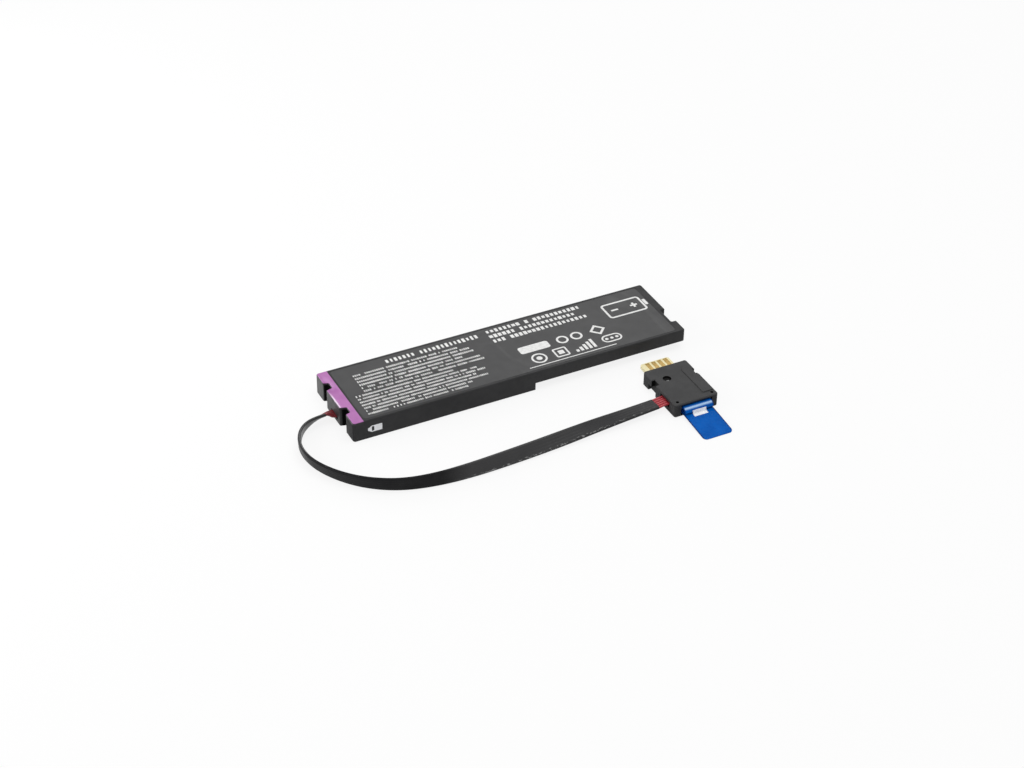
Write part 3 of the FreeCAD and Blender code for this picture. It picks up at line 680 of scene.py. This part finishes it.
def runTree(name, tree, mesh, values):
    holder = bpy.data.objects.new(name + "Holder", mesh)
    scene.collection.objects.link(holder)
    modifier = holder.modifiers.new(name, "NODES")
    modifier.node_group = tree
    for item in tree.interface.items_tree:
        if item.in_out == "INPUT" and item.name in values:
            modifier[item.identifier] = values[item.name]
    graph = bpy.context.evaluated_depsgraph_get()
    result = bpy.data.meshes.new_from_object(holder.evaluated_get(graph))
    holder.modifiers.remove(modifier)
    bpy.data.objects.remove(holder)
    result.name = name
    return result


# Five insulated wires at each end of the jacket
wires = {
    "count": 5,
    "pitch": 1.35 * mm,
    "radius": 0.6 * mm,
    "sides": 20,
    "steps": 14,
    "packRowY": -1.0 * mm,
    "packZ": 2.7 * mm,
    "packStart": -74.4 * mm,
    "packWall": -84.0 * mm,
    "plugRowY": -56.9 * mm,
    "plugZ": 4.0 * mm,
    "plugWall": 50.2 * mm,
    "plugEnd": 59.1 * mm,
    "packLead": 1.6 * mm,       # straight out of the jacket, at each end
    "plugLead": 1.2 * mm,
    "tuck": 8,                  # how many stations each wire goes on inside the jacket
}


def wireTree():
    tree, given, result = newTree("insulatedWires", [
        ("Wire Radius", "Float"), ("Sides", "Int"), ("Finish", "Material")])
    lines = addNode(tree, "GeometryNodeMeshToCurve", {"Mesh": given["Geometry"]})
    ring = addNode(tree, "GeometryNodeCurvePrimitiveCircle", {
        "Resolution": given["Sides"], "Radius": given["Wire Radius"]})
    tube = addNode(tree, "GeometryNodeCurveToMesh", {
        "Curve": lines.outputs["Curve"], "Profile Curve": ring.outputs["Curve"], "Fill Caps": True})
    smooth = addNode(tree, "GeometryNodeSetShadeSmooth", {"Geometry": tube.outputs["Mesh"]})
    real = addNode(tree, "GeometryNodeRealizeInstances", {"Geometry": smooth.outputs["Geometry"]})
    coated = addNode(tree, "GeometryNodeSetMaterial", {
        "Geometry": real.outputs["Geometry"], "Material": given["Finish"]})
    tree.links.new(coated.outputs["Geometry"], result["Geometry"])
    return tree


def wireRoutes(settings):
    start, startAlong, startAcross = stations[0][:3]
    stop, stopAlong, stopAcross = stations[-1][:3]
    inStart, inStop = stations[settings["tuck"]], stations[-1 - settings["tuck"]]
    packRoutes, plugRoutes = [], []
    for k in range(settings["count"]):
        place = (k - (settings["count"] - 1) / 2) * settings["pitch"]
        meet = start + place * startAcross
        y = settings["packRowY"] - place
        packRoutes.append([
            (settings["packStart"], y, settings["packZ"]),
            (settings["packWall"], y, settings["packZ"]),
            meet - settings["packLead"] * startAlong,
            meet,
            inStart[0] + place * inStart[2],
        ])
        meet = stop + place * stopAcross
        y = settings["plugRowY"] + place
        plugRoutes.append([
            inStop[0] + place * inStop[2],
            meet,
            meet + settings["plugLead"] * stopAlong,
            (settings["plugWall"], y, settings["plugZ"]),
            (settings["plugEnd"], y, settings["plugZ"]),
        ])
    return packRoutes, plugRoutes


wireMaker = wireTree()
wireValues = {
    "Wire Radius": wires["radius"],
    "Sides": wires["sides"],
    "Finish": finishes["wire_red"],
}
wirePieces = []
for name, routes in zip(("packWires", "plugWires"), wireRoutes(wires)):
    lines = smoothLines(name + "Route", routes, wires["steps"])
    wirePieces.append(addPiece(name, runTree(name, wireMaker, lines, wireValues), "wire_red"))
packWires, plugWires = wirePieces
print("wires:", [len(piece.data.polygons) for piece in wirePieces], "faces")

settle(cableJacket, "jacket_black", "cable_jacket")
settle(packWires, "wire_red", "pack_wires")
settle(plugWires, "wire_red", "plug_wires")
onCable = [packWires, plugWires]
onCable += [cadNodes[name] for name in (
    "plug_upper_shell", "plug_lower_shell", "plug_card", "edge_contacts", "tab_bar", "pull_tab", "loop_tape")]

# Print on the top film: rows of small white bars that stand for small print, and a few plain shapes
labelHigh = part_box("top_label")[1]
labelPrint = {
    "thick": 0.03 * mm,
    "sunk": 0.01 * mm,
    "smallest": (0.62, 0.66, 1.0),      # share of a letter's width, height and thickness
    "blocks": {
        "titleRow": {"corner": (-50.0, 15.6), "letters": 22, "rows": 1, "pitch": 2.1, "rowPitch": 4.0,
                     "letter": (1.4, 3.1), "gaps": 0.12, "ragged": 0.0, "seed": 3},
        "upperRows": {"corner": (-68.0, 11.6), "letters": 66, "rows": 6, "pitch": 0.95, "rowPitch": 2.45,
                      "letter": (0.64, 1.5), "gaps": 0.14, "ragged": 0.2, "seed": 8},
        "lowerRows": {"corner": (-73.0, -3.2), "letters": 78, "rows": 7, "pitch": 0.80, "rowPitch": 2.25,
                      "letter": (0.56, 1.4), "gaps": 0.13, "ragged": 0.26, "seed": 21},
        "sideRows": {"corner": (0.4, 16.6), "letters": 24, "rows": 3, "pitch": 2.2, "rowPitch": 3.9,
                     "letter": (1.75, 2.6), "gaps": 0.08, "ragged": 0.15, "seed": 5},
    },
}


def printTree():
    tree, given, result = newTree("printRows", [
        ("Letters", "Int"), ("Rows", "Int"), ("Letter Pitch", "Float"), ("Row Pitch", "Float"),
        ("Letter Width", "Float"), ("Letter Height", "Float"), ("Thickness", "Float"), ("Corner", "Vector"),
        ("Gap Share", "Float"), ("Ragged", "Float"), ("Seed", "Int"), ("Ink", "Material")])

    def reckon(operation, first, second):
        return addNode(tree, "ShaderNodeMath", {0: first, 1: second}, operation=operation).outputs["Value"]

    lastLetter = reckon("SUBTRACT", given["Letters"], 1.0)
    lastRow = reckon("SUBTRACT", given["Rows"], 1.0)
    length = reckon("MULTIPLY", lastLetter, given["Letter Pitch"])
    height = reckon("MULTIPLY", lastRow, given["Row Pitch"])
    grid = addNode(tree, "GeometryNodeMeshGrid", {
        "Size X": length, "Size Y": height, "Vertices X": given["Letters"], "Vertices Y": given["Rows"]})
    middle = addNode(tree, "ShaderNodeCombineXYZ", {
        "X": reckon("MULTIPLY", length, 0.5), "Y": reckon("MULTIPLY", height, -0.5)})
    moved = addNode(tree, "GeometryNodeSetPosition", {
        "Geometry": grid.outputs["Mesh"], "Offset": middle.outputs["Vector"]})
    dots = addNode(tree, "GeometryNodeMeshToPoints", {"Mesh": moved.outputs["Geometry"]})
    # word gaps by chance, and each row ends at its own length
    gap = addNode(tree, "FunctionNodeRandomValue", {"Probability": given["Gap Share"], "Seed": given["Seed"]},
                  data_type="BOOLEAN")
    index = addNode(tree, "GeometryNodeInputIndex")
    row = reckon("FLOORED_MODULO", index.outputs["Index"], given["Rows"])
    rowEnd = addNode(tree, "FunctionNodeRandomValue", {"ID": row, "Seed": given["Seed"]}, data_type="FLOAT")
    kept = reckon("SUBTRACT", 1.0, reckon("MULTIPLY", rowEnd.outputs[1], given["Ragged"]))
    place = addNode(tree, "GeometryNodeInputPosition")
    apart = addNode(tree, "ShaderNodeSeparateXYZ", {"Vector": place.outputs["Position"]})
    over = reckon("GREATER_THAN", apart.outputs["X"], reckon("MULTIPLY", length, kept))
    dropped = reckon("MAXIMUM", over, gap.outputs[3])
    words = addNode(tree, "GeometryNodeDeleteGeometry", {
        "Geometry": dots.outputs["Points"], "Selection": dropped})
    size = addNode(tree, "ShaderNodeCombineXYZ", {
        "X": given["Letter Width"], "Y": given["Letter Height"], "Z": given["Thickness"]})
    bar = addNode(tree, "GeometryNodeMeshCube", {"Size": size.outputs["Vector"]})
    scaleRange = {"Min": labelPrint["smallest"], "Max": (1.0, 1.0, 1.0), "Seed": given["Seed"]}
    scale = addNode(tree, "FunctionNodeRandomValue", scaleRange, data_type="FLOAT_VECTOR")
    letters = addNode(tree, "GeometryNodeInstanceOnPoints", {
        "Points": words.outputs["Geometry"], "Instance": bar.outputs["Mesh"], "Scale": scale.outputs[0]})
    real = addNode(tree, "GeometryNodeRealizeInstances", {"Geometry": letters.outputs["Instances"]})
    placed = addNode(tree, "GeometryNodeSetPosition", {
        "Geometry": real.outputs["Geometry"], "Offset": given["Corner"]})
    inked = addNode(tree, "GeometryNodeSetMaterial", {
        "Geometry": placed.outputs["Geometry"], "Material": given["Ink"]})
    tree.links.new(inked.outputs["Geometry"], result["Geometry"])
    return tree


ink = printInk("printInk")
finishes["print"] = ink
rowMaker = printTree()
printMiddle = labelHigh.z + labelPrint["thick"] / 2 - labelPrint["sunk"]
for name, block in labelPrint["blocks"].items():
    rowMesh = runTree(name, rowMaker, bpy.data.meshes.new(name + "Seedling"), {
        "Letters": block["letters"],
        "Rows": block["rows"],
        "Letter Pitch": block["pitch"] * mm,
        "Row Pitch": block["rowPitch"] * mm,
        "Letter Width": block["letter"][0] * mm,
        "Letter Height": block["letter"][1] * mm,
        "Thickness": labelPrint["thick"],
        "Corner": (block["corner"][0] * mm, block["corner"][1] * mm, printMiddle),
        "Gap Share": block["gaps"],
        "Ragged": block["ragged"],
        "Seed": block["seed"],
        "Ink": ink,
    })
    settle(addPiece(name, rowMesh, "print"), "patch_film")
    print("print", name, len(rowMesh.polygons), "faces")


# Plain shapes: thin plates and bands on a flat side of the pack
def roundedBox(middle, width, height, radius, steps=6):
    points = []
    for quarter, (sx, sy) in enumerate(((1, 1), (-1, 1), (-1, -1), (1, -1))):
        cx = middle[0] + sx * (width / 2 - radius)
        cy = middle[1] + sy * (height / 2 - radius)
        for i in range(steps + 1):
            turn = math.pi / 2 * (quarter + i / steps)
            points.append((cx + radius * math.cos(turn), cy + radius * math.sin(turn)))
    return points


def circle(middle, radius, steps=40):
    turns = [2 * math.pi * i / steps for i in range(steps)]
    return [(middle[0] + radius * math.cos(turn), middle[1] + radius * math.sin(turn)) for turn in turns]


def layer(work, outline, place, height):
    return [work.verts.new(place @ Vector((u * mm, v * mm, height))) for u, v in outline]


def wall(work, low, high):
    for i in range(len(low)):
        j = (i + 1) % len(low)
        work.faces.new((low[i], low[j], high[j], high[i]))


def addPlate(work, outline, place, thick, sunk):
    low, high = layer(work, outline, place, -sunk), layer(work, outline, place, thick - sunk)
    wall(work, low, high)
    work.faces.new(low[::-1])
    work.faces.new(high)


def addBand(work, outer, inner, place, thick, sunk):
    outLow, outHigh = layer(work, outer, place, -sunk), layer(work, outer, place, thick - sunk)
    inLow, inHigh = layer(work, inner, place, -sunk), layer(work, inner, place, thick - sunk)
    wall(work, outLow, outHigh)
    wall(work, inHigh, inLow)
    wall(work, outHigh, inHigh)
    wall(work, inLow, outLow)


def addFrame(work, middle, width, height, corner, line, depth):
    inner = roundedBox(middle, width - 2 * line, height - 2 * line, corner - line)
    addBand(work, roundedBox(middle, width, height, corner), inner, *depth)


def addHoop(work, middle, radius, line, depth, steps=40):
    addBand(work, circle(middle, radius, steps), circle(middle, radius - line, steps), *depth)


def finishShapes(work, name, finish="print"):
    bmesh.ops.recalc_face_normals(work, faces=work.faces)
    mesh = bpy.data.meshes.new(name)
    work.to_mesh(mesh)
    work.free()
    settle(addPiece(name, mesh, finish), "patch_film")
    print("shapes", name, len(mesh.polygons), "faces")


labelShapes = {         # in mm on the label
    "cell": {"middle": (66.4, 7.2), "size": (20.0, 11.5), "line": 1.0, "corner": 1.8},
    "tip": {"size": (1.5, 4.6), "gap": 0.3, "corner": 0.5},
    "signs": {"reach": 5.0, "arm": 3.6, "line": 1.1, "corner": 0.2, "stubCorner": 0.1},
    "plate": {"middle": (14.0, -3.4), "size": (15.0, 5.2), "corner": 1.2},
    "hoops": {"middles": ((28.4, -3.4), (35.6, -3.4)), "radius": 2.9, "line": 1.0},
    "diamond": {"middle": (46.4, -3.4), "radius": 4.0, "line": 1.5, "sides": 4},
    "ring": {"middle": (12.4, -11.8), "radius": 3.7, "line": 0.9, "dot": 1.4, "dotSides": 20},
    "square": {"middle": (23.4, -11.8), "size": 6.8, "line": 0.8, "corner": 1.0, "inner": 2.8,
               "innerCorner": 0.3},
    "bars": {"left": 30.8, "foot": -15.0, "count": 5, "pitch": 2.2, "width": 1.4, "first": 1.8, "step": 1.2,
             "corner": 0.2},
    "pill": {"middle": (49.4, -11.8), "size": (10.0, 5.6), "line": 0.8, "flat": 0.01, "dots": 3, "pitch": 2.6,
             "dot": 0.8, "dotSides": 16},
    "rule": {"middle": (27.0, -17.0), "size": (44.0, 0.5), "corner": 0.1},
}


def addCell(work, cell, tip, signs, depth):
    (x, y), (width, height) = cell["middle"], cell["size"]
    addFrame(work, (x, y), width, height, cell["corner"], cell["line"], depth)
    tipMiddle = (x + (width + tip["size"][0]) / 2 + tip["gap"], y)
    addPlate(work, roundedBox(tipMiddle, *tip["size"], tip["corner"]), *depth)
    for side in (-1, 1):
        middle = (x + side * signs["reach"], y)
        addPlate(work, roundedBox(middle, signs["arm"], signs["line"], signs["corner"]), *depth)
    stub = (signs["arm"] - signs["line"]) / 2
    for side in (-1, 1):
        foot = (x + signs["reach"], y + side * (signs["line"] + stub) / 2)
        addPlate(work, roundedBox(foot, signs["line"], stub, signs["stubCorner"]), *depth)


def makeLabelShapes(settings):
    work = bmesh.new()
    place = Matrix.Translation((0.0, 0.0, labelHigh.z))
    depth = (place, labelPrint["thick"], labelPrint["sunk"])
    addCell(work, settings["cell"], settings["tip"], settings["signs"], depth)
    plate, hoops, diamond = settings["plate"], settings["hoops"], settings["diamond"]
    addPlate(work, roundedBox(plate["middle"], *plate["size"], plate["corner"]), *depth)
    for middle in hoops["middles"]:
        addHoop(work, middle, hoops["radius"], hoops["line"], depth)
    addHoop(work, diamond["middle"], diamond["radius"], diamond["line"], depth, diamond["sides"])
    ring, square = settings["ring"], settings["square"]
    addHoop(work, ring["middle"], ring["radius"], ring["line"], depth)
    addPlate(work, circle(ring["middle"], ring["dot"], ring["dotSides"]), *depth)
    addFrame(work, square["middle"], square["size"], square["size"], square["corner"], square["line"], depth)
    inner = square["inner"]
    addPlate(work, roundedBox(square["middle"], inner, inner, square["innerCorner"]), *depth)
    bars = settings["bars"]
    for k in range(bars["count"]):
        tall = bars["first"] + k * bars["step"]
        middle = (bars["left"] + k * bars["pitch"], bars["foot"] + tall / 2)
        addPlate(work, roundedBox(middle, bars["width"], tall, bars["corner"]), *depth)
    pill, rule = settings["pill"], settings["rule"]
    (x, y), (width, height) = pill["middle"], pill["size"]
    addFrame(work, (x, y), width, height, height / 2 - pill["flat"], pill["line"], depth)
    for k in range(pill["dots"]):
        middle = (x + (k - (pill["dots"] - 1) / 2) * pill["pitch"], y)
        addPlate(work, circle(middle, pill["dot"], pill["dotSides"]), *depth)
    addPlate(work, roundedBox(rule["middle"], *rule["size"], rule["corner"]), *depth)
    finishShapes(work, "labelShapes")


makeLabelShapes(labelShapes)

# Sign of a cell on the pack's front, beside the touch strip
frontSign = {           # in mm on the case's front
    "tip": -75.4,
    "shoulder": -73.7,
    "right": -68.7,
    "low": 3.3,
    "high": 6.6,
    "tipLow": 4.4,
    "tipHigh": 5.5,
    "window": (-73.6, -72.5, 3.8, 6.1),     # left, right, low, high
}


def makeFrontSign(settings):
    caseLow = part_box("lower_case")[0]
    place = Matrix(((1, 0, 0, 0), (0, 0, -1, caseLow.y), (0, 1, 0, 0), (0, 0, 0, 1)))
    depth = (place, labelPrint["thick"], labelPrint["sunk"])
    left, right, sill, lintel = settings["window"]
    tip, shoulder, end = settings["tip"], settings["shoulder"], settings["right"]
    low, high = settings["low"], settings["high"]
    outlines = [
        [(tip, settings["tipLow"]), (shoulder, low), (left, low),
         (left, high), (shoulder, high), (tip, settings["tipHigh"])],
        [(left, low), (right, low), (right, sill), (left, sill)],
        [(left, lintel), (right, lintel), (right, high), (left, high)],
        [(right, low), (end, low), (end, high), (right, high)],
    ]
    work = bmesh.new()
    for outline in outlines:
        addPlate(work, outline, *depth)
    finishShapes(work, "frontSign", "patch_film")


makeFrontSign(frontSign)

# Stage: pale floor that reads white to the camera and keeps a soft shadow
stage = {
    "floorSize": 8.0,
    "floorDrop": 0.05 * mm,
    "floorColor": (0.97, 0.97, 0.97),
    "floorGlow": 0.85,          # share of plain white that the camera sees
    "skyLight": 0.42,
    "softboxes": [
        # name, place, aimed at, width, height, watts
        ("backSoftbox", (0.34, 0.66, 0.56), (0.0, 0.0, 0.0), 0.55, 0.35, 0.85),
        ("lowSoftbox", (-0.34, 0.32, 0.10), (-0.08, 0.0, 0.0), 0.30, 0.16, 0.62),
        ("leftSoftbox", (-0.75, 0.10, 0.35), (-0.05, 0.0, 0.0), 0.5, 0.4, 1.6),
        ("topSoftbox", (0.15, -0.15, 1.1), (0.0, 0.0, 0.0), 0.8, 0.8, 5.0),
    ],
}


def seenDirectly(tree):
    rays = tree.nodes.new("ShaderNodeLightPath")
    seen = rays.outputs["Is Camera Ray"]
    for kind in ("Is Glossy Ray", "Is Transmission Ray"):
        either = tree.nodes.new("ShaderNodeMath")
        either.operation = "MAXIMUM"
        tree.links.new(seen, either.inputs[0])
        tree.links.new(rays.outputs[kind], either.inputs[1])
        seen = either.outputs["Value"]
    return seen


def addFloor(settings):
    half = settings["floorSize"] / 2
    corners = [(x * half, y * half, -settings["floorDrop"]) for x, y in ((-1, -1), (1, -1), (1, 1), (-1, 1))]
    mesh = bpy.data.meshes.new("paleFloor")
    mesh.from_pydata(corners, [], [(0, 1, 2, 3)])
    paper = newFinish("floorPaper", settings["floorColor"], 0.9)
    tree = paper.node_tree
    glow = tree.nodes.new("ShaderNodeEmission")
    mixer = tree.nodes.new("ShaderNodeMixShader")
    share = tree.nodes.new("ShaderNodeMath")
    share.operation = "MULTIPLY"
    share.inputs[1].default_value = settings["floorGlow"]
    tree.links.new(seenDirectly(tree), share.inputs[0])
    tree.links.new(share.outputs["Value"], mixer.inputs["Fac"])
    tree.links.new(shaderOf(paper).outputs["BSDF"], mixer.inputs[1])
    tree.links.new(glow.outputs["Emission"], mixer.inputs[2])
    tree.links.new(mixer.outputs["Shader"], tree.nodes["Material Output"].inputs["Surface"])
    mesh.materials.append(paper)
    floor = bpy.data.objects.new("paleFloor", mesh)
    scene.collection.objects.link(floor)


def addSky(settings):
    world = bpy.data.worlds.new("studioSky")
    world.use_nodes = True
    tree = world.node_tree
    light = tree.nodes.new("ShaderNodeMapRange")
    light.inputs["To Min"].default_value = settings["skyLight"]
    light.inputs["To Max"].default_value = 1.0
    tree.links.new(seenDirectly(tree), light.inputs["Value"])
    tree.nodes["Background"].inputs["Color"].default_value = (1.0, 1.0, 1.0, 1.0)
    tree.links.new(light.outputs["Result"], tree.nodes["Background"].inputs["Strength"])
    scene.world = world


def addSoftbox(name, place, target, width, height, watts):
    lamp = bpy.data.lights.new(name, "AREA")
    lamp.shape = "RECTANGLE"
    lamp.size = width
    lamp.size_y = height
    lamp.energy = watts
    holder = bpy.data.objects.new(name, lamp)
    holder.location = place
    holder.rotation_euler = (Vector(target) - Vector(place)).to_track_quat("-Z", "Y").to_euler()
    scene.collection.objects.link(holder)


addFloor(stage)
addSky(stage)
for softbox in stage["softboxes"]:
    addSoftbox(*softbox)
scene.view_settings.view_transform = "Standard"
print("stage set")
